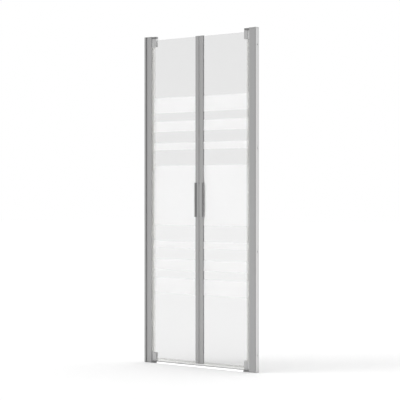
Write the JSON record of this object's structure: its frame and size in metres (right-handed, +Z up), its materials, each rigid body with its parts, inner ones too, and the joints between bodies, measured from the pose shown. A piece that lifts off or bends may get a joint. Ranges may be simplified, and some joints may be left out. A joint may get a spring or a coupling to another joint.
{
  "type": "double pivot shower door",
  "caption": "Niche shower door: two glass leaves that swing both ways on corner pivots, between telescoping wall posts over a low threshold.",
  "frame": {"origin": "on the floor, midway between the walls, in the middle plane of the closed glass", "axes": "+X across the doorway to the right-hand wall, +Y into the shower, +Z up; -Y is the outside"},
  "size_m": [0.88, 0.03, 2],
  "materials": {
    "profile": "satin anodised",
    "bracket": "satin cast",
    "clamp": "satin",
    "handle": "satin anodised",
    "sill": "satin anodised, darker along its top",
    "steel": "stainless",
    "glass": "clear with satin bands",
    "clear_seal": "clear flexible",
    "magnet_seal": "translucent grey flexible",
    "magnet": "magnetic rubber",
    "gasket": "soft grey",
    "cap": "moulded grey",
    "bush": "acetal"
  },
  "bodies": {
    "root": {"adjusting_screws_left": "steel", "adjusting_screws_right": "steel", "bracket_bottom_left": "bracket", "bracket_bottom_right": "bracket", "bracket_screws": "steel", "bracket_top_left": "bracket", "bracket_top_right": "bracket", "pivot_bushes": "bush", "post_left": "profile", "post_right": "profile", "screw_caps_left": "cap", "screw_caps_right": "cap", "threshold_end_left": "cap", "threshold_end_right": "cap", "threshold_strip": "sill", "wall_channel_left": "profile", "wall_channel_right": "profile"},
    "leaf_left": {"bottom_seal_left": "clear_seal", "clamp_gaskets_left": "gasket", "clamp_inner_bottom_left": "clamp", "clamp_inner_top_left": "clamp", "clamp_outer_bottom_left": "clamp", "clamp_outer_top_left": "clamp", "clamp_screws_left": "steel", "glass_left": "glass", "glazing_gasket_left": "gasket", "handle_inner_left": "handle", "handle_outer_left": "handle", "handle_screws_left": "steel", "magnet_seal_left": "magnet_seal", "magnet_strip_left": "magnet", "middle_profile_left": "profile", "pivot_pins_left": "steel", "profile_cap_bottom_left": "cap", "profile_cap_top_left": "cap", "side_seal_left": "clear_seal"},
    "leaf_right": {"bottom_seal_right": "clear_seal", "clamp_gaskets_right": "gasket", "clamp_inner_bottom_right": "clamp", "clamp_inner_top_right": "clamp", "clamp_outer_bottom_right": "clamp", "clamp_outer_top_right": "clamp", "clamp_screws_right": "steel", "glass_right": "glass", "glazing_gasket_right": "gasket", "handle_inner_right": "handle", "handle_outer_right": "handle", "handle_screws_right": "steel", "magnet_seal_right": "magnet_seal", "magnet_strip_right": "magnet", "middle_profile_right": "profile", "pivot_pins_right": "steel", "profile_cap_bottom_right": "cap", "profile_cap_top_right": "cap", "side_seal_right": "clear_seal"}
  },
  "joints": [
    {"name": "left_pivot", "type": "hinge", "parent": "root", "child": "leaf_left", "pos_m": [-0.3615, 0, 0], "axis": [0, 0, 1], "range_deg": [-90, 90]},
    {"name": "right_pivot", "type": "hinge", "parent": "root", "child": "leaf_right", "pos_m": [0.3615, 0, 0], "axis": [0, 0, 1], "range_deg": [-90, 90]}
  ]
}
